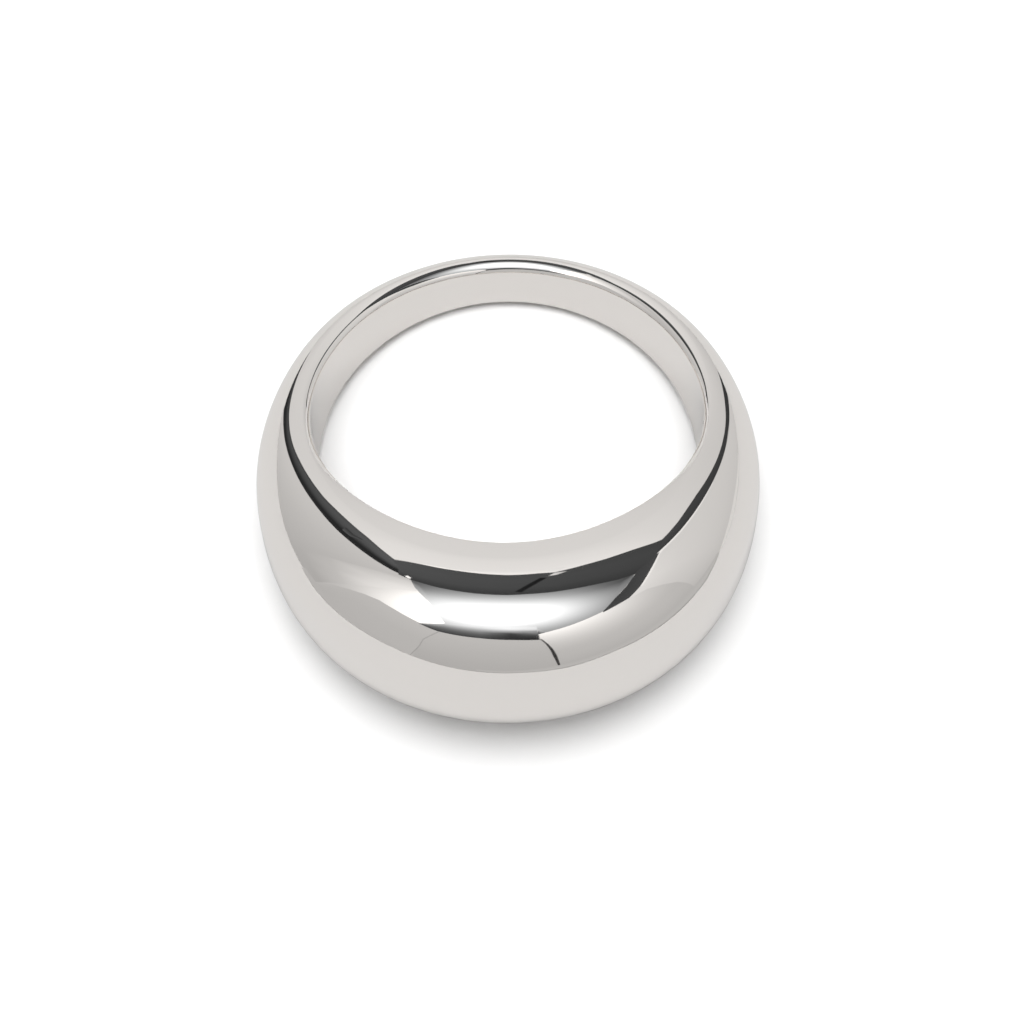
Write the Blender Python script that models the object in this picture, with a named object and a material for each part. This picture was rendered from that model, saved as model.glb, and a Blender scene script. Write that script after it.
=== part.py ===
"""A domed finger ring in polished silver, one solid, lying on its side as it rests by itself.

The bore is round. The band is widest and thickest at the crown of the dome, which faces -Y,
and runs down evenly on both sides to a narrow, thin back at +Y. Metres, +Z up, floor at Z = 0.
"""
from collections import namedtuple
from math import atan2, cos, pi, radians, sin

import bpy
import numpy as np

MM = 0.001

# Driving sizes of the ring. The edge is the soft turn from the outer face into the bore: its depth is
# measured off the finger, its height along the finger.
BORE_RADIUS = 8.5 * MM
Station = namedtuple("Station", "angle width thickness edge_depth edge_height edge_power")
STATIONS = (
    Station(0, 9.10 * MM, 4.95 * MM, 0.77 * MM, 0.04 * MM, 1.32),
    Station(36, 8.65 * MM, 4.35 * MM, 0.73 * MM, 0.06 * MM, 1.32),
    Station(72, 6.16 * MM, 2.86 * MM, 0.27 * MM, 0.20 * MM, 1.36),
    Station(108, 3.96 * MM, 1.79 * MM, 0.50 * MM, 0.32 * MM, 1.62),
    Station(144, 3.19 * MM, 1.42 * MM, 0.56 * MM, 0.37 * MM, 1.53),
    Station(180, 2.88 * MM, 1.30 * MM, 0.55 * MM, 0.41 * MM, 1.40),
)

# The outer face and the edge are superellipses. The face has one power off the finger and one along it,
# all the way round; the edge's power is set at each station.
RADIAL_POWER = 1.42
AXIAL_POWER = 2.97

# Divisions of the solid: round the finger, and for each half of the cross-section
ROUND_STEPS = 120
FACE_STEPS = 15
EDGE_STEPS = 6
BORE_STEPS = 3
SECTION_STEPS = 2 * (FACE_STEPS + EDGE_STEPS + BORE_STEPS)

# The tube that the ring starts from, before its section is drawn
TUBE_RADIUS = 1 * MM

SILVER = (0.96, 0.925, 0.89, 1.0)
SILVER_ROUGHNESS = 0.04


def even_curve(values):
    """Cosine waves that pass through values at the stations' angles, level at the crown and back."""
    angles = np.radians([station.angle for station in STATIONS])
    waves = np.arange(len(STATIONS))
    heights = np.linalg.solve(np.cos(np.outer(angles, waves)), values)
    return lambda turn: float(heights @ np.cos(waves * turn))


half_width_at = even_curve([station.width / 2 for station in STATIONS])
thickness_at = even_curve([station.thickness for station in STATIONS])
edge_depth_at = even_curve([station.edge_depth for station in STATIONS])
edge_height_at = even_curve([station.edge_height for station in STATIONS])
edge_power_at = even_curve([station.edge_power for station in STATIONS])


def outer_face(half_width, thickness, edge_depth):
    """Half of the outer face as (radius, height) points, evenly spaced from its middle to its edge."""
    turns = np.linspace(0, pi / 2, 240)
    radii = BORE_RADIUS + edge_depth
    radii = radii + (thickness - edge_depth) * np.abs(np.cos(turns)) ** (2 / RADIAL_POWER)
    heights = half_width * np.sin(turns) ** (2 / AXIAL_POWER)
    lengths = np.concatenate([[0], np.cumsum(np.hypot(np.diff(radii), np.diff(heights)))])
    places = np.linspace(0, lengths[-1], FACE_STEPS + 1)
    return list(zip(np.interp(places, lengths, radii), np.interp(places, lengths, heights)))


def section(turn):
    """The closed cross-section at an angle from the crown: outer face, soft edge, bore wall."""
    half_width = half_width_at(turn)
    edge_depth = edge_depth_at(turn)
    edge_height = edge_height_at(turn)
    edge_power = edge_power_at(turn)
    upper = outer_face(half_width, thickness_at(turn), edge_depth)
    for step in range(1, EDGE_STEPS + 1):
        angle = pi / 2 * step / EDGE_STEPS
        inward = sin(angle) ** (2 / edge_power)
        downward = 1 - max(cos(angle), 0.0) ** (2 / edge_power)
        upper.append((BORE_RADIUS + edge_depth * (1 - inward), half_width - edge_height * downward))
    wall = half_width - edge_height
    for step in range(1, BORE_STEPS + 1):
        upper.append((BORE_RADIUS, wall * (1 - step / BORE_STEPS)))
    lower = [(radius, -height) for radius, height in upper[-2:0:-1]]
    return upper + lower


def clear_scene():
    for item in list(bpy.data.objects):
        bpy.data.objects.remove(item, do_unlink=True)


def silver():
    material = bpy.data.materials.new("polished_silver")
    material.use_nodes = True
    shader = material.node_tree.nodes["Principled BSDF"]
    shader.inputs["Base Color"].default_value = SILVER
    shader.inputs["Metallic"].default_value = 1.0
    shader.inputs["Roughness"].default_value = SILVER_ROUGHNESS
    material.diffuse_color = SILVER
    return material


def make_ring(collection):
    """A torus whose round section becomes the ring's own section at each angle."""
    bpy.ops.mesh.primitive_torus_add(
        major_segments=ROUND_STEPS,
        minor_segments=SECTION_STEPS,
        major_radius=BORE_RADIUS,
        minor_radius=TUBE_RADIUS,
    )
    ring = bpy.context.object
    ring.name = "dome_ring"
    ring.data.name = "dome_ring"
    sections = {}
    for vertex in ring.data.vertices:
        x, y, z = vertex.co
        turn = atan2(x, -y)
        round_step = round(turn / (2 * pi) * ROUND_STEPS) % ROUND_STEPS
        if round_step not in sections:
            sections[round_step] = section(round_step * 2 * pi / ROUND_STEPS)
        tube_angle = atan2(z, np.hypot(x, y) - BORE_RADIUS)
        place = round(tube_angle / (2 * pi) * SECTION_STEPS) % SECTION_STEPS
        radius, height = sections[round_step][place]
        vertex.co = (radius * sin(turn), -radius * cos(turn), height)
    ring.data.materials.append(silver())
    ring.data.shade_smooth()
    ring.data.set_sharp_from_angle(angle=radians(50))
    for holder in list(ring.users_collection):
        holder.objects.unlink(ring)
    collection.objects.link(ring)
    return ring


def resting_lean(points):
    """The lean at which the dome's lower side and the lower edge of the back touch one floor."""
    dome = points[points[:, 1] < 0]
    back = points[points[:, 1] >= 0]
    low, high = 0.0, radians(30)
    for _ in range(40):
        lean = (low + high) / 2
        down = np.array([0.0, sin(lean), -cos(lean)])
        if (dome @ down).max() > (back @ down).max():
            low = lean
        else:
            high = lean
    return (low + high) / 2


def lay_down(ring):
    """Lean the ring as it rests and put the middle of its box over the origin, on the floor."""
    points = np.array([vertex.co for vertex in ring.data.vertices])
    lean = resting_lean(points)
    ring.rotation_euler = (-lean, 0.0, 0.0)
    across = points[:, 0]
    depth = points[:, 1] * cos(lean) + points[:, 2] * sin(lean)
    height = points[:, 2] * cos(lean) - points[:, 1] * sin(lean)
    ring.location = (
        -(across.min() + across.max()) / 2,
        -(depth.min() + depth.max()) / 2,
        -height.min(),
    )


def main():
    clear_scene()
    collection = bpy.data.collections.new("domed_finger_ring")
    bpy.context.scene.collection.children.link(collection)
    ring = make_ring(collection)
    lay_down(ring)


main()
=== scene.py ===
"""A domed silver finger ring lying on its side in a small light tent."""
from collections import namedtuple
from math import cos, pi, radians, sin

import bpy
import numpy as np
from mathutils import Matrix, Vector


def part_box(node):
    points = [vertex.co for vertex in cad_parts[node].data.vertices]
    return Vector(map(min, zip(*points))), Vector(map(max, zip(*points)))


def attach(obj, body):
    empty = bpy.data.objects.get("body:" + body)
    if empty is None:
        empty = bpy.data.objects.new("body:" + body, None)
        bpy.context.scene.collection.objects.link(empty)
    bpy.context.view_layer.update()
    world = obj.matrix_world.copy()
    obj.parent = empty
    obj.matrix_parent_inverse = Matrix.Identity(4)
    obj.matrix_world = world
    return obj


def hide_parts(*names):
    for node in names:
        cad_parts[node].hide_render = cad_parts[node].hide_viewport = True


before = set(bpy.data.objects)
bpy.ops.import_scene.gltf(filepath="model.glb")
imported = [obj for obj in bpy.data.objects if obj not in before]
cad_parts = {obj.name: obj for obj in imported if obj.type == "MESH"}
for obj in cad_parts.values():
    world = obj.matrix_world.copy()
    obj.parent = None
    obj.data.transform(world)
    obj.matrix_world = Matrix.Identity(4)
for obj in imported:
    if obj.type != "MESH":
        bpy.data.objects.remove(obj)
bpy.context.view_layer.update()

# The ring. One solid of polished silver, cast and filed to shape: a round bore, a wide and thick dome
# at the front, and a band that runs down evenly on both sides to a slim back. Its sizes are given at
# stations from the crown of the dome, at 0 degrees, round to the back.
MM = 0.001
BORE_RADIUS = 8.5 * MM
STATION_ANGLES = (0, 36, 72, 108, 144, 180)
BAND_WIDTHS = np.array([9.10, 8.65, 6.16, 3.96, 3.19, 2.88]) * MM
BAND_THICKNESSES = np.array([4.95, 4.35, 2.86, 1.79, 1.42, 1.30]) * MM
EDGE_DEPTHS = np.array([0.77, 0.73, 0.27, 0.50, 0.56, 0.55]) * MM
EDGE_HEIGHTS = np.array([0.04, 0.06, 0.20, 0.32, 0.37, 0.41]) * MM
EDGE_POWERS = np.array([1.32, 1.32, 1.36, 1.62, 1.53, 1.40])
RADIAL_POWER = 1.42
AXIAL_POWER = 2.97
RESTING_LEAN = radians(10.131)
STEPS_ROUND = 360
STEPS_ACROSS = 200
OUTER_FACE_SHARE = 0.62
SOFT_EDGE_SHARE = 0.24
SEAM_REACH = 0.001 * MM
SILVER_DARKEST = (0.954, 0.917, 0.883, 1.0)
SILVER_LIGHTEST = (0.969, 0.934, 0.900, 1.0)
POLISH_SMOOTHEST = 0.020
POLISH_ROUGHEST = 0.045
DRIFT_SCALE = 160.0
DRIFT_DETAIL = 3.0


def cosine_waves(values):
    """The heights of the cosine waves that pass through one value at each station round the band."""
    angles = np.radians(STATION_ANGLES)
    return np.linalg.solve(np.cos(np.outer(angles, np.arange(len(angles)))), values)


class RingTree:
    """A tree of shape nodes, with short ways to add an input, a sum or a wave."""

    def __init__(self, name):
        self.tree = bpy.data.node_groups.new(name, "GeometryNodeTree")
        self.tree.interface.new_socket("Geometry", in_out="OUTPUT", socket_type="NodeSocketGeometry")
        self.inputs = self.tree.nodes.new("NodeGroupInput")
        self.output = self.tree.nodes.new("NodeGroupOutput")
        self.sockets = {}

    def add_input(self, name, kind="NodeSocketFloat"):
        self.sockets[name] = self.tree.interface.new_socket(name, in_out="INPUT", socket_type=kind)
        return self.inputs.outputs[name]

    def node(self, kind, **settings):
        made = self.tree.nodes.new(kind)
        for setting, value in settings.items():
            setattr(made, setting, value)
        return made

    def feed(self, socket, value):
        if isinstance(value, bpy.types.NodeSocket):
            self.tree.links.new(value, socket)
        else:
            socket.default_value = value

    def math(self, operation, first, second=0.0, clamped=False):
        made = self.node("ShaderNodeMath", operation=operation, use_clamp=clamped)
        self.feed(made.inputs[0], first)
        self.feed(made.inputs[1], second)
        return made.outputs[0]

    def power_of_wave(self, wave, turn, power):
        """One coordinate of a superellipse: a sine or cosine raised to two over its power."""
        swing = self.math("MAXIMUM", self.math(wave, turn), 0.0)
        return self.math("POWER", swing, self.math("DIVIDE", 2.0, power))

    def wave_sum(self, name, turn):
        """The even curve round the band whose wave heights are the inputs called name 0, 1, 2..."""
        total = self.add_input(f"{name} 0")
        for wave in range(1, len(STATION_ANGLES)):
            swing = self.math("COSINE", self.math("MULTIPLY", turn, float(wave)))
            total = self.math("ADD", total, self.math("MULTIPLY", swing, self.add_input(f"{name} {wave}")))
        return total


def band_tree():
    build = RingTree("tapering_domed_band")
    math = build.math
    bore = build.add_input("Bore radius")
    radial_power = build.add_input("Radial power")
    axial_power = build.add_input("Axial power")
    face_share = build.add_input("Outer face share")
    edge_share = build.add_input("Soft edge share")
    round_steps = build.add_input("Steps round", "NodeSocketInt")
    across_steps = build.add_input("Steps across", "NodeSocketInt")

    grid = build.node("GeometryNodeMeshGrid")
    build.feed(grid.inputs["Size X"], 1.0)
    build.feed(grid.inputs["Size Y"], 1.0)
    build.feed(grid.inputs["Vertices X"], math("ADD", round_steps, 1.0))
    build.feed(grid.inputs["Vertices Y"], math("ADD", across_steps, 1.0))
    place = build.node("ShaderNodeSeparateXYZ")
    build.feed(place.inputs[0], build.node("GeometryNodeInputPosition").outputs[0])

    # Round the finger from the crown, and out from the middle of the outer face to the bore wall
    turn = math("MULTIPLY", place.outputs["X"], 2 * pi)
    across = math("MULTIPLY", place.outputs["Y"], 2.0)
    side = math("SIGN", across)
    away = math("ABSOLUTE", across)
    on_face = math("DIVIDE", away, face_share, clamped=True)
    face_turn = math("MULTIPLY", math("POWER", on_face, math("DIVIDE", axial_power, 2.0)), pi / 2)
    past_face = math("SUBTRACT", away, face_share)
    edge_turn = math("MULTIPLY", math("DIVIDE", past_face, edge_share, clamped=True), pi / 2)
    wall_length = math("SUBTRACT", 1.0, math("ADD", face_share, edge_share))
    on_wall = math("DIVIDE", math("SUBTRACT", past_face, edge_share), wall_length, clamped=True)

    half_width = build.wave_sum("Half width wave", turn)
    thickness = build.wave_sum("Thickness wave", turn)
    edge_depth = build.wave_sum("Edge depth wave", turn)
    edge_height = build.wave_sum("Edge height wave", turn)
    edge_power = build.wave_sum("Edge power wave", turn)
    bulge = build.power_of_wave("COSINE", face_turn, radial_power)
    rise = build.power_of_wave("SINE", face_turn, axial_power)
    inward = build.power_of_wave("SINE", edge_turn, edge_power)
    downward = math("SUBTRACT", 1.0, build.power_of_wave("COSINE", edge_turn, edge_power))
    radius = math("ADD", bore, math("MULTIPLY", edge_depth, math("SUBTRACT", 1.0, inward)))
    radius = math("ADD", radius, math("MULTIPLY", math("SUBTRACT", thickness, edge_depth), bulge))
    height = math("SUBTRACT", math("MULTIPLY", half_width, rise), math("MULTIPLY", edge_height, downward))
    height = math("SUBTRACT", height, math("MULTIPLY", math("SUBTRACT", half_width, edge_height), on_wall))

    bent = build.node("ShaderNodeCombineXYZ")
    build.feed(bent.inputs["X"], math("MULTIPLY", radius, math("SINE", turn)))
    build.feed(bent.inputs["Y"], math("MULTIPLY", math("MULTIPLY", radius, math("COSINE", turn)), -1.0))
    build.feed(bent.inputs["Z"], math("MULTIPLY", height, side))
    move = build.node("GeometryNodeSetPosition")
    build.feed(move.inputs["Geometry"], grid.outputs["Mesh"])
    build.feed(move.inputs["Position"], bent.outputs[0])

    close = build.node("GeometryNodeMergeByDistance")
    build.feed(close.inputs["Geometry"], move.outputs[0])
    build.feed(close.inputs["Distance"], SEAM_REACH)
    smooth = build.node("GeometryNodeSetShadeSmooth")
    build.feed(smooth.inputs[0], close.outputs[0])
    lie = build.node("GeometryNodeTransform")
    build.feed(lie.inputs["Geometry"], smooth.outputs[0])
    build.feed(lie.inputs["Rotation"], build.add_input("Lean", "NodeSocketVector"))
    real = build.node("GeometryNodeRealizeInstances")
    build.feed(real.inputs[0], lie.outputs[0])
    finish = build.node("GeometryNodeSetMaterial")
    build.feed(finish.inputs["Geometry"], real.outputs[0])
    build.feed(finish.inputs["Material"], build.add_input("Finish", "NodeSocketMaterial"))
    build.feed(build.output.inputs["Geometry"], finish.outputs[0])
    return build


def polished_silver():
    """Bright white metal, whose tone and polish drift very slightly, as a buffing wheel leaves them."""
    material = bpy.data.materials.new("polished_silver")
    material.use_nodes = True
    nodes, links = material.node_tree.nodes, material.node_tree.links
    shader = nodes["Principled BSDF"]
    shader.inputs["Metallic"].default_value = 1.0
    place = nodes.new("ShaderNodeTexCoord")
    drift = nodes.new("ShaderNodeTexNoise")
    drift.inputs["Scale"].default_value = DRIFT_SCALE
    drift.inputs["Detail"].default_value = DRIFT_DETAIL
    links.new(place.outputs["Object"], drift.inputs["Vector"])
    tone = nodes.new("ShaderNodeMix")
    tone.data_type = "RGBA"
    tone.inputs["A"].default_value = SILVER_DARKEST
    tone.inputs["B"].default_value = SILVER_LIGHTEST
    links.new(drift.outputs["Fac"], tone.inputs["Factor"])
    links.new(tone.outputs["Result"], shader.inputs["Base Color"])
    polish = nodes.new("ShaderNodeMapRange")
    polish.inputs["To Min"].default_value = POLISH_SMOOTHEST
    polish.inputs["To Max"].default_value = POLISH_ROUGHEST
    links.new(drift.outputs["Fac"], polish.inputs["Value"])
    links.new(polish.outputs["Result"], shader.inputs["Roughness"])
    return material


def fit_box(mesh, low, high):
    """Move the mesh into the solid's box; the finer mesh is a few microns taller, so it shrinks by those."""
    points = np.array([vertex.co for vertex in mesh.vertices])
    size = points.max(axis=0) - points.min(axis=0)
    shrink = min(1.0, *((np.array(high) - np.array(low)) / size))
    middle = Vector((points.max(axis=0) + points.min(axis=0)) / 2)
    foot = Vector((middle.x, middle.y, float(points[:, 2].min())))
    target = Vector(((low[0] + high[0]) / 2, (low[1] + high[1]) / 2, low[2]))
    mesh.transform(Matrix.Translation(target) @ Matrix.Scale(shrink, 4) @ Matrix.Translation(-foot))


def make_ring():
    build = band_tree()
    ring = bpy.data.objects.new("silver_ring", bpy.data.meshes.new("silver_ring"))
    bpy.context.scene.collection.objects.link(ring)
    modifier = ring.modifiers.new("band", "NODES")
    modifier.node_group = build.tree
    values = {
        "Bore radius": BORE_RADIUS,
        "Radial power": RADIAL_POWER,
        "Axial power": AXIAL_POWER,
        "Outer face share": OUTER_FACE_SHARE,
        "Soft edge share": SOFT_EDGE_SHARE,
        "Steps round": STEPS_ROUND,
        "Steps across": STEPS_ACROSS,
        "Lean": (-RESTING_LEAN, 0.0, 0.0),
        "Finish": polished_silver(),
    }
    curves = {
        "Half width wave": BAND_WIDTHS / 2,
        "Thickness wave": BAND_THICKNESSES,
        "Edge depth wave": EDGE_DEPTHS,
        "Edge height wave": EDGE_HEIGHTS,
        "Edge power wave": EDGE_POWERS,
    }
    for curve, stations in curves.items():
        for wave, height in enumerate(cosine_waves(stations)):
            values[f"{curve} {wave}"] = float(height)
    for name, value in values.items():
        modifier[build.sockets[name].identifier] = value
    evaluated = ring.evaluated_get(bpy.context.evaluated_depsgraph_get())
    mesh = bpy.data.meshes.new_from_object(evaluated)
    ring.modifiers.remove(modifier)
    ring.data = mesh
    mesh.name = "silver_ring"
    fit_box(mesh, *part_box("dome_ring"))
    return ring


ring = make_ring()
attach(ring, "root")
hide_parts("dome_ring")

# The floor of the tent: a round sheet of plain white board that the ring lies on. The picture is exposed
# until the board is white, but the metal mirrors a darker grey copy of its tone: painted shade that dims
# the board in the ring's reflections.
BOARD_RADIUS = 0.265
BOARD_BACK = 0.148
BOARD_SIDES = 96
BOARD_WHITE = (0.88, 0.88, 0.88, 1.0)
# Painted shade: the darker copy of the board's tone that only glossy rays see, so the board is dimmer in the
# metal's reflections.
BOARD_SHADE_IN_MIRROR = (0.516, 0.516, 0.516, 1.0)
BOARD_ROUGHNESS = 0.9


def make_board():
    bpy.ops.mesh.primitive_circle_add(
        vertices=BOARD_SIDES, radius=BOARD_RADIUS, fill_type="NGON", location=(0.0, BOARD_BACK, 0.0))
    board = bpy.context.object
    board.name = "white_board"
    material = bpy.data.materials.new("white_board")
    material.use_nodes = True
    nodes, links = material.node_tree.nodes, material.node_tree.links
    shader = nodes["Principled BSDF"]
    shader.inputs["Roughness"].default_value = BOARD_ROUGHNESS
    shader.inputs["Specular IOR Level"].default_value = 0.0
    ray = nodes.new("ShaderNodeLightPath")
    tone = nodes.new("ShaderNodeMix")
    tone.data_type = "RGBA"
    tone.inputs["A"].default_value = BOARD_WHITE
    # Glossy rays get the painted darker copy of the tone; the camera gets the white.
    tone.inputs["B"].default_value = BOARD_SHADE_IN_MIRROR
    links.new(ray.outputs["Is Glossy Ray"], tone.inputs["Factor"])
    links.new(tone.outputs["Result"], shader.inputs["Base Color"])
    board.data.materials.append(material)
    return board


make_board()

# The walls of the light tent, as the ring sees them: panels of pale cloth hung round it, brighter towards
# the top, where a lamp stands outside. The world beyond them is the same cloth, and the whole tent leans
# a degree towards the camera.
CARD_DISTANCE = 2.0
LAYER_GAP = 0.01
TENT_TIP = Matrix.Rotation(radians(1.166), 3, "X")
TENT_LEVEL = (0.710, 0.710, 0.710, 1.0)
TENT_ON_BOARD = 0.39
WALL_GLOW = ((0.0, 0.63), (0.26, 0.69), (0.42, 0.70), (0.57, 0.745), (0.71, 0.77), (0.82, 0.725), (1.0, 0.70))
Lamp = namedtuple("Lamp", "glow across along across_spread along_spread")
WALL_LAMP = Lamp(2.72, -0.085, -0.337, 0.401, 0.231)
LAMP_FALL = 0.75
ANY_HEIGHT = 1e6
WHITE = (1.0, 1.0, 1.0, 1.0)


def lamp_group(name, lamp):
    """How brightly a lamp shows through cloth, by the direction from the ring."""
    group = bpy.data.node_groups.new(name, "ShaderNodeTree")
    group.interface.new_socket("Direction", in_out="INPUT", socket_type="NodeSocketVector")
    group.interface.new_socket("Glow", in_out="OUTPUT", socket_type="NodeSocketFloat")
    nodes, links = group.nodes, group.links
    start = nodes.new("NodeGroupInput")
    end = nodes.new("NodeGroupOutput")
    unit = nodes.new("ShaderNodeVectorMath")
    unit.operation = "NORMALIZE"
    links.new(start.outputs[0], unit.inputs[0])
    away = nodes.new("ShaderNodeVectorMath")
    away.operation = "SUBTRACT"
    away.inputs[1].default_value = (lamp.across, lamp.along, 0.0)
    links.new(unit.outputs[0], away.inputs[0])
    scaled = nodes.new("ShaderNodeVectorMath")
    scaled.operation = "DIVIDE"
    scaled.inputs[1].default_value = (lamp.across_spread, lamp.along_spread, ANY_HEIGHT)
    links.new(away.outputs[0], scaled.inputs[0])
    squared = nodes.new("ShaderNodeVectorMath")
    squared.operation = "DOT_PRODUCT"
    links.new(scaled.outputs[0], squared.inputs[0])
    links.new(scaled.outputs[0], squared.inputs[1])
    fall = nodes.new("ShaderNodeMath")
    fall.operation = "MULTIPLY"
    fall.inputs[1].default_value = -LAMP_FALL
    links.new(squared.outputs["Value"], fall.inputs[0])
    spread = nodes.new("ShaderNodeMath")
    spread.operation = "EXPONENT"
    links.new(fall.outputs[0], spread.inputs[0])
    bright = nodes.new("ShaderNodeMath")
    bright.operation = "MULTIPLY"
    bright.inputs[1].default_value = lamp.glow
    links.new(spread.outputs[0], bright.inputs[0])
    links.new(bright.outputs[0], end.inputs[0])
    return group


def tent_world():
    """Cloth all round for the metal, an even dimmer light for the board, and white for the camera."""
    world = bpy.data.worlds.new("light_tent")
    bpy.context.scene.world = world
    world.use_nodes = True
    nodes, links = world.node_tree.nodes, world.node_tree.links
    nodes.clear()
    place = nodes.new("ShaderNodeTexCoord")
    split = nodes.new("ShaderNodeSeparateXYZ")
    links.new(place.outputs["Generated"], split.inputs[0])
    wall = nodes.new("ShaderNodeFloatCurve")
    curve = wall.mapping.curves[0]
    wall.mapping.use_clip = False
    for index, (height, glow) in enumerate(WALL_GLOW):
        if index < 2:
            curve.points[index].location = (height, glow)
        else:
            curve.points.new(height, glow)
    wall.mapping.update()
    links.new(split.outputs["Z"], wall.inputs["Value"])
    lamp = nodes.new("ShaderNodeGroup")
    lamp.node_tree = lamp_group("lamp_on_walls", WALL_LAMP)
    links.new(place.outputs["Generated"], lamp.inputs[0])
    total = nodes.new("ShaderNodeMath")
    total.operation = "ADD"
    links.new(wall.outputs[0], total.inputs[0])
    links.new(lamp.outputs[0], total.inputs[1])
    tent = nodes.new("ShaderNodeBackground")
    tent.inputs["Color"].default_value = TENT_LEVEL
    links.new(total.outputs[0], tent.inputs["Strength"])
    dim = nodes.new("ShaderNodeBackground")
    dim.inputs["Color"].default_value = WHITE
    dim.inputs["Strength"].default_value = TENT_ON_BOARD
    plain = nodes.new("ShaderNodeBackground")
    plain.inputs["Color"].default_value = WHITE
    ray = nodes.new("ShaderNodeLightPath")
    on_board = nodes.new("ShaderNodeMixShader")
    links.new(ray.outputs["Is Diffuse Ray"], on_board.inputs[0])
    links.new(tent.outputs[0], on_board.inputs[1])
    links.new(dim.outputs[0], on_board.inputs[2])
    pick = nodes.new("ShaderNodeMixShader")
    links.new(ray.outputs["Is Camera Ray"], pick.inputs[0])
    links.new(on_board.outputs[0], pick.inputs[1])
    links.new(plain.outputs[0], pick.inputs[2])
    out = nodes.new("ShaderNodeOutputWorld")
    links.new(pick.outputs[0], out.inputs[0])


def card_material(name, level, group=None):
    """Light from the card's own brightness, and from the lamp behind it where it has one."""
    material = bpy.data.materials.new(name)
    material.use_nodes = True
    nodes, links = material.node_tree.nodes, material.node_tree.links
    nodes.clear()
    own = nodes.new("ShaderNodeAttribute")
    own.attribute_name = "glow"
    light = nodes.new("ShaderNodeEmission")
    light.inputs["Color"].default_value = level
    if group is None:
        links.new(own.outputs["Fac"], light.inputs["Strength"])
    else:
        place = nodes.new("ShaderNodeTexCoord")
        lamp = nodes.new("ShaderNodeGroup")
        lamp.node_tree = group
        links.new(place.outputs["Object"], lamp.inputs[0])
        total = nodes.new("ShaderNodeMath")
        total.operation = "ADD"
        links.new(own.outputs["Fac"], total.inputs[0])
        links.new(lamp.outputs[0], total.inputs[1])
        links.new(total.outputs[0], light.inputs["Strength"])
    out = nodes.new("ShaderNodeOutputMaterial")
    links.new(light.outputs[0], out.inputs["Surface"])
    return material


def direction(azimuth, elevation):
    """From the ring towards the tent: azimuth 0 is towards the camera, and 90 is to its right."""
    level = cos(radians(elevation))
    across, along = level * sin(radians(azimuth)), -level * cos(radians(azimuth))
    return TENT_TIP @ Vector((across, along, sin(radians(elevation))))


def hang(name, rows, glows, material):
    """A sheet through rows of points, with a brightness at each; only the metal sees it."""
    across = len(rows[0])
    points = [point for row in rows for point in row]
    faces = []
    for row in range(len(rows) - 1):
        for step in range(across - 1):
            first = row * across + step
            faces.append((first, first + 1, first + across + 1, first + across))
    mesh = bpy.data.meshes.new(name)
    mesh.from_pydata(points, [], faces)
    mesh.attributes.new("glow", "FLOAT", "POINT").data.foreach_set("value", glows)
    mesh.materials.append(material)
    made = bpy.data.objects.new(name, mesh)
    bpy.context.scene.collection.objects.link(made)
    made.visible_camera = False
    made.visible_diffuse = False
    made.visible_shadow = False


def card(name, rungs, first_ramp, last_ramp, material, nearer=0):
    """A strip of cloth between two edges, made of rungs from one edge to the other.

    Each rung gives the azimuth and elevation of both its ends. The ramps are the brightness along the
    first and last rung. Each step of nearer brings the strip in front of those behind it.
    """
    distance = CARD_DISTANCE * (1 - LAYER_GAP * nearer)
    rows = []
    glows = []
    for place, (azimuth, elevation, far_azimuth, far_elevation) in enumerate(rungs):
        start, end = direction(azimuth, elevation), direction(far_azimuth, far_elevation)
        last_share = place / (len(rungs) - 1)
        row = []
        for step, (first, last) in enumerate(zip(first_ramp, last_ramp)):
            row.append(start.lerp(end, step / (len(first_ramp) - 1)).normalized() * distance)
            glows.append(first + (last - first) * last_share)
        rows.append(row)
    hang(name, rows, glows, material)


tent_world()
cloth = card_material("tent_cloth", TENT_LEVEL)
card("back_panel", (
    (-149, -8, 147, -8), (-148.5, 0, 146, 0), (-146, 6, 145.7, 6), (-145.3, 12, 142.2, 12),
    (-143.1, 18, 138.9, 18), (-140.8, 24, 135.8, 24), (-139.4, 30, 131.4, 30), (-137.5, 36, 126, 36),
    (-135.1, 42, 120.8, 42), (-133.9, 45, 118.1, 45), (-132.4, 48, 119, 48.5), (-127.6, 54, 121.5, 54),
    (-121.8, 60, 125.5, 60.2), (-133, 66.8, 130, 65), (-142, 70.6, 138, 69.9), (-158, 73.9, 152, 75),
    (-172, 75.3, 172, 75.7),
), (0.86, 0.84, 0.74), (1.22, 1.20, 1.26), cloth)
card("left_back_panel", (
    (-144, -8, -139.3, 8), (-137, -8, -136.9, 13), (-132, -8, -132, 21), (-126, -8, -126, 31),
    (-120, -8, -120, 40), (-112, -8, -112, 52), (-105, -8, -104.8, 60), (-99, -8, -98.4, 67),
), (0.79, 0.82, 0.84, 0.84), (0.62, 0.66, 0.73, 0.80), cloth)
card("left_side_panel", (
    (-99, -8, -98.4, 67), (-91, -8, -90, 66.5), (-81.5, -8, -79.5, 66.2),
), (0.62, 0.64, 0.72, 0.80, 0.78), (0.64, 0.60, 0.78, 1.15, 1.28), cloth)
card("left_front_panel", (
    (-81.5, -8, -81.5, 1), (-80, -8, -80, 19), (-77.3, -8, -77.3, 30), (-74, -8, -74, 37.6),
    (-68.5, -8, -68.5, 43.3), (-59, -8, -59, 45.6), (-34, -8, -34, 46),
), (0.64, 0.65, 0.69, 0.70), (0.68, 0.69, 0.70, 0.76), cloth, 1)
card("front_panel", (
    (-35.5, -8, -34, 46.4), (-26, -8, -26, 48.6), (-10, -8, -10, 50.5), (0, -8, 0, 50.1), (16.7, -8, 14, 47),
), (0.61, 0.64, 0.70, 0.75), (0.62, 0.65, 0.69, 0.76), cloth, 1)
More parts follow.
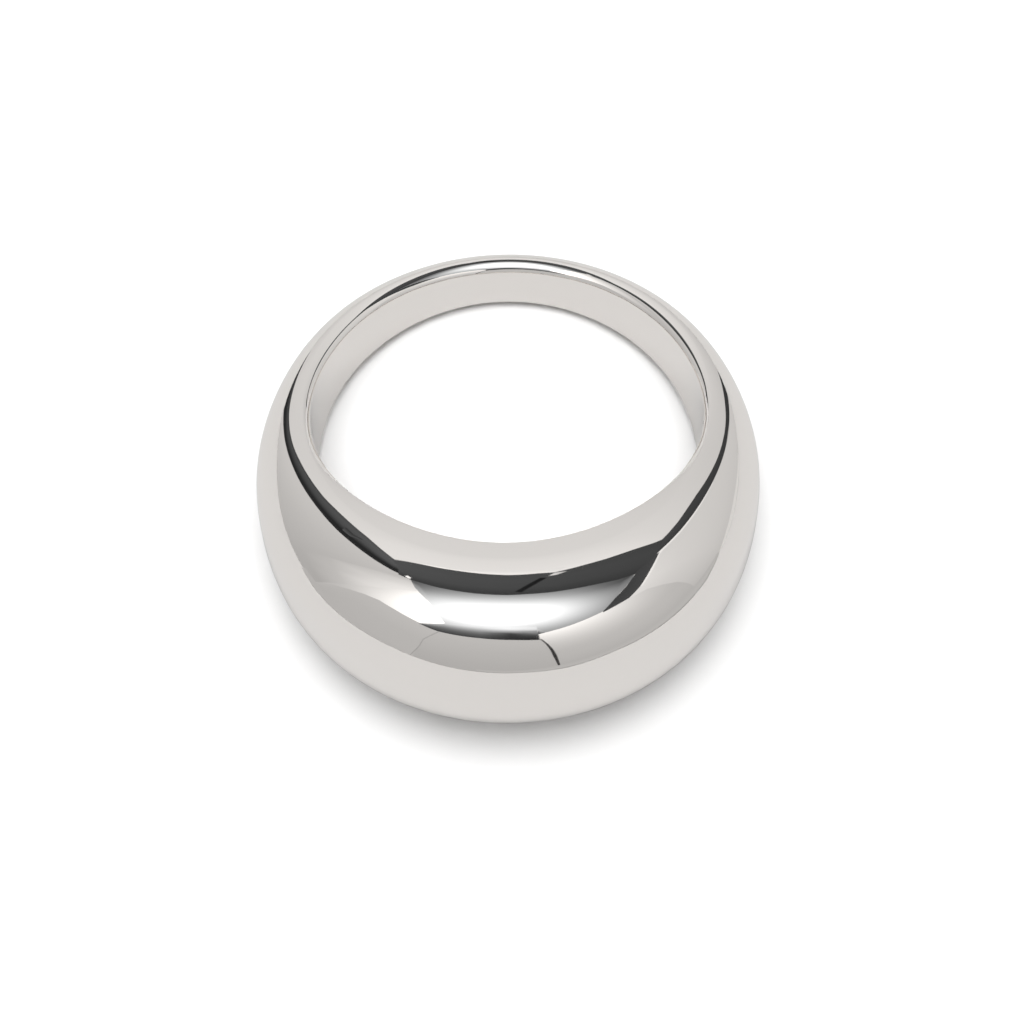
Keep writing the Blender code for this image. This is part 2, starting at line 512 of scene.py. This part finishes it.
card("right_back_panel", (
    (74, -8, 144, -8), (74.3, -2, 142.5, -2), (75.5, 3, 142.4, 3), (76.5, 8.4, 140, 8.4),
    (77.5, 16.1, 134.4, 16.1), (78.2, 24.5, 128, 24.5), (77.2, 33.4, 120.3, 33.4), (76, 38, 116, 38),
    (74.2, 42.8, 111.9, 42.8), (70.5, 45.5, 109.3, 45.5), (65.8, 48, 104, 48), (67, 50, 93, 50),
), (0.62, 0.72, 0.76, 0.82), (1.14, 1.14, 1.07, 0.98), cloth)

# The feet of the tent's walls, where the cloth stands on the board close round the ring, and the strip
# of bright board that shows beyond the right one. The feet hide the board's edge from the metal.
FOOT_HEIGHT = 9.0 * MM
FOOT_GAP = 0.1 * MM


def stand(name, feet, ramp, material):
    """Cloth that stands on the board along points in millimetres, the ring at 0, 0."""
    heights = np.linspace(FOOT_GAP, FOOT_GAP + FOOT_HEIGHT, len(ramp))
    rows = [[Vector((across * MM, along * MM, height)) for height in heights] for across, along in feet]
    hang(name, rows, list(ramp) * len(feet), material)


stand("right_wall_foot", (
    (215, 4), (140, -4), (95, -10), (74, -13), (60, -15), (52, -18), (47, -25), (43, -32), (43, -48),
    (46, -58), (47, -69), (36, -71), (25, -73), (18, -90), (8, -113), (-9, -127), (-33, -163),
), (0.44, 0.64, 0.70, 0.69, 0.68, 0.67, 0.67), cloth)
stand("left_wall_foot", (
    (-110, -8), (-87, -14), (-62, -17), (-59, -25), (-62, -41), (-74, -61), (-80, -87), (-100, -130),
), (0.62, 0.66, 0.68, 0.68, 0.67, 0.67, 0.67), cloth)
card("board_beyond_right", (
    (93, -3, 93, -0.8), (98, -3, 98, 0.8), (103, -3, 103, 1.7), (110, -3, 110, 2.0), (117, -3, 117, 1.6),
    (124, -3, 124, 0.2), (131, -3, 131, -1.2),
), (0.97, 0.97), (0.97, 0.97), cloth, 7)

# The window in the tent's roof: thin cloth with a lamp close above it. The dome mirrors it as the white
# streak along its crown. The lamp is a little bluer than the cloth of the walls.
LAMP_LEVEL = (0.683, 0.710, 0.736, 1.0)
WINDOW_LAMP = Lamp(2.33, -0.058, -0.303, 0.343, 0.180)
WINDOW_OWN = (0.08, 0.06, 0.18, 0.23, 0.23, 0.23, 0.23)

thin_cloth = card_material("tent_window", LAMP_LEVEL, lamp_group("lamp_through_window", WINDOW_LAMP))
card("window", (
    (-99.1, 66.2, -85.4, 66.4), (-98.7, 68.2, -62.2, 65.8), (-98.5, 69.5, -35.8, 55.6),
    (-97.4, 80.4, -17.5, 57.4), (180, 89.7, 0, 57.8), (91.9, 81.4, 15.3, 56.4), (91.4, 78.1, 18.4, 53.2),
    (91.4, 71.1, 30.5, 53.6), (91.8, 65.5, 40.9, 53.4), (92.7, 60.3, 51.3, 52.5), (93.3, 57.9, 70.8, 56.1),
    (93.4, 55.7, 86.9, 55.7),
), WINDOW_OWN, WINDOW_OWN, thin_cloth, 2)

# Black felt round the window: a strip along its front edge, lit from behind at the top, a frame at its
# right, and the gaps behind it and down the two back corners. The metal mirrors it as its dark lines.
felt = card_material("black_felt", LAMP_LEVEL)
card("front_strip_left", (
    (-44.7, 46.1, -44.4, 45.7), (-40.3, 51.5, -38, 45.5), (-36, 56.2, -33.8, 45.6), (-28, 59.2, -24, 47.6),
), (0.70, 0.45, 0.28, 0.19, 0.14, 0.10, 0.08), (1.30, 0.85, 0.50, 0.28, 0.17, 0.12, 0.07), felt, 3)
card("front_strip_bend", (
    (-28, 59.2, -24, 47.6), (-18, 62.0, -15, 48.9),
), (1.30, 0.85, 0.50, 0.28, 0.17, 0.12, 0.07), (1.45, 1.12, 0.64, 0.34, 0.19, 0.13, 0.07), felt, 3)
card("front_strip_middle", (
    (-18, 62.0, -15, 48.9), (-10, 62.8, -8.5, 49.1), (0, 63.0, 0, 48.9),
), (1.45, 1.12, 0.64, 0.34, 0.19, 0.13, 0.07), (1.45, 1.42, 0.62, 0.09, 0.065, 0.05, 0.05), felt, 3)
card("front_strip_right", (
    (0, 63.0, 0, 48.9), (8, 62.3, 6, 48.0), (15.2, 60.8, 13.4, 46.0),
), (1.45, 1.42, 0.62, 0.09, 0.065, 0.05, 0.05), (1.25, 1.20, 0.45, 0.28, 0.10, 0.05, 0.02), felt, 3)
card("front_strip_corner", (
    (15.2, 58.3, 14.2, 54), (18.2, 53.2, 12.8, 52.2),
), (1.0, 0.30, 0.11), (0.45, 0.20, 0.10), felt, 3)
card("back_gap", (
    (-120.5, 60, -101, 62.5), (-127, 63.8, -97.5, 66.5), (-134, 67.4, -92.9, 73.7), (-142, 70.6, -90, 78),
    (-150, 72.6, -85.5, 82.3), (-166, 75.2, -71, 86.9), (180, 76.2, 0, 88.8), (162, 75.5, 71, 86.9),
    (150, 75, 82, 81), (138, 69.9, 85.3, 76), (130, 65, 87.3, 70), (123.5, 57, 88.5, 62),
    (119, 49, 92, 52.5), (117.6, 44.5, 92.6, 49.5),
), (0.115, 0.12, 0.11, 0.06), (0.075, 0.085, 0.08, 0.06), felt, 4)
card("right_frame", (
    (93.4, 55.5, 107.3, 46.6), (93.4, 55.2, 92.6, 48.7), (79, 56, 77.1, 48.4), (64.5, 55.6, 66.3, 48.3),
    (51.8, 52.7, 50.3, 51.7),
), (0.085, 0.09), (0.065, 0.09), felt, 5)
card("right_gap", (
    (147.3, -8, 144, -8), (146.4, -3, 142.6, -3), (145.8, 2, 142.3, 2), (145.7, 6, 142, 6),
    (144.2, 9, 139.6, 9), (142.2, 12, 137.4, 12), (138.9, 18, 132.9, 18), (135.8, 24, 128.3, 24),
    (131.4, 30, 123.4, 30), (126, 36, 118.1, 36), (120.8, 42, 112.7, 42), (118.2, 45, 109.8, 45),
    (118.6, 47.5, 106.8, 47.5),
), (0.05, 0.05, 0.06), (0.09, 0.09, 0.06), felt, 4)
card("left_gap", (
    (-150, -8, -144, -8), (-151.5, -2, -141.2, -2), (-147.7, 3, -140.8, 3), (-146, 6, -140.2, 6),
    (-145.6, 9, -138.9, 9), (-145.3, 12, -137.2, 12), (-143.1, 18, -133.7, 18), (-140.8, 24, -130.2, 24),
    (-139.4, 30, -126.4, 30), (-137.5, 36, -122.6, 36), (-135.1, 42, -118.9, 42), (-132.4, 48, -114.8, 48),
    (-127.6, 54, -110, 54), (-121.8, 60, -104.8, 60), (-120.5, 62, -102, 63.5),
), (0.06, 0.08, 0.05, 0.03, 0.04), (0.12, 0.15, 0.13, 0.03, 0.03), felt, 4)
card("left_gap_fold", (
    (-129.5, 38.5, -125.5, 37.5), (-127, 42.8, -123.5, 41.5), (-127.3, 47, -125.3, 46),
), (0.05, 0.14), (0.05, 0.12), felt, 5)
card("back_gap_crease", (
    (146.6, 78.5, 153.5, 78.6), (102.6, 87.8, 139.7, 88.6),
), (0.015, 0.015), (0.02, 0.02), felt, 5)

# The trim of the panels: hems folded double, which catch the lamp along the felt, two clips that hold
# the roof, and the seams down the two front corners.
card("right_back_panel_hem", (
    (77, 48.6, 77, 47.2), (92.6, 48.9, 92.4, 47.3), (106.8, 47.5, 104.8, 46.2), (109.8, 45, 107.8, 44.7),
    (112.7, 42, 110.9, 41.8), (118.1, 36, 116.5, 35.8), (123.4, 30, 122, 29.9), (128.3, 24, 127.2, 24),
    (134.4, 16.1, 133.8, 16.1),
), (1.42, 1.12), (1.18, 1.10), cloth, 1)
card("back_panel_hem", (
    (-134, 64.6, -134, 67.6), (-142, 67.6, -142, 70.8), (-150, 69.6, -150, 72.8), (-166, 72, -166, 75.4),
    (180, 72.8, 180, 76.4), (162, 72.1, 162, 75.7), (150, 71.6, 150, 75.2),
), (1.12, 1.32, 1.62), (1.08, 1.15, 1.26), cloth, 1)
card("back_gap_clip", (
    (150, 75.3, 141.5, 74), (149, 77.4, 143.5, 76.4),
), (0.8, 0.8), (1.1, 1.1), cloth, 6)
card("window_clip", (
    (-103.5, 65.6, -101.3, 64.6), (-100.8, 66.8, -98.6, 65.8),
), (1.5, 1.5), (1.5, 1.5), cloth, 6)
card("right_front_seam", (
    (13.6, 47.0, 14.3, 46.6), (14.9, 39.2, 15.9, 39.2), (15.5, 30.4, 16.8, 30.4), (15.6, 20, 17.0, 20),
    (15.9, 9.4, 16.9, 9.4), (16.4, -8, 17.0, -8),
), (0.05, 0.05), (0.05, 0.05), cloth, 4)
card("left_front_seam", (
    (-34.0, 46, -33.4, 46), (-35.7, 30, -35.3, 30), (-34.7, 20, -34.4, 20), (-34.6, 12, -34.3, 12),
    (-35.5, -8, -35.3, -8),
), (0.5, 0.5), (0.4, 0.4), cloth, 4)

# A soft overhead light that brings the board up to white and gives the ring its soft shadow. It hangs
# a little to the left of the ring, and the metal doesn't mirror it.
FILL_POWER = 4.0
FILL_SIZE = 0.5
FILL_HEIGHT = 0.6
FILL_LEFT = 0.018


def make_fill():
    light = bpy.data.lights.new("overhead_fill", "AREA")
    light.shape = "DISK"
    light.size = FILL_SIZE
    light.energy = FILL_POWER
    made = bpy.data.objects.new("overhead_fill", light)
    made.location = (-FILL_LEFT, 0.0, FILL_HEIGHT)
    made.visible_glossy = False
    made.visible_camera = False
    bpy.context.scene.collection.objects.link(made)


make_fill()

# The camera: a long lens a hand's breadth above the ring, a little in front of it, looking down. The
# picture is shown as plain tones, with no film look.
CAMERA_PLACE = Vector((0.42, -40.163, 90.375)) * MM
CAMERA_HEADING = radians(0.40)
CAMERA_ELEVATION = radians(66.285)
CAMERA_ROLL = radians(-1.30)
SENSOR_WIDTH = 36.0
LENS_LENGTH = 77.34
NEAREST_SEEN = 1 * MM
FARTHEST_SEEN = 10.0


def make_camera():
    camera = bpy.data.cameras.new("camera")
    camera.sensor_width = SENSOR_WIDTH
    camera.lens = LENS_LENGTH
    camera.clip_start = NEAREST_SEEN
    camera.clip_end = FARTHEST_SEEN
    made = bpy.data.objects.new("camera", camera)
    heading = Matrix.Rotation(CAMERA_HEADING, 4, "Z")
    tip = Matrix.Rotation(pi / 2 - CAMERA_ELEVATION, 4, "X")
    roll = Matrix.Rotation(CAMERA_ROLL, 4, "Z")
    made.matrix_world = Matrix.Translation(CAMERA_PLACE) @ heading @ tip @ roll
    bpy.context.scene.collection.objects.link(made)
    bpy.context.scene.camera = made


make_camera()
bpy.context.scene.view_settings.view_transform = "Standard"
bpy.context.scene.view_settings.look = "None"
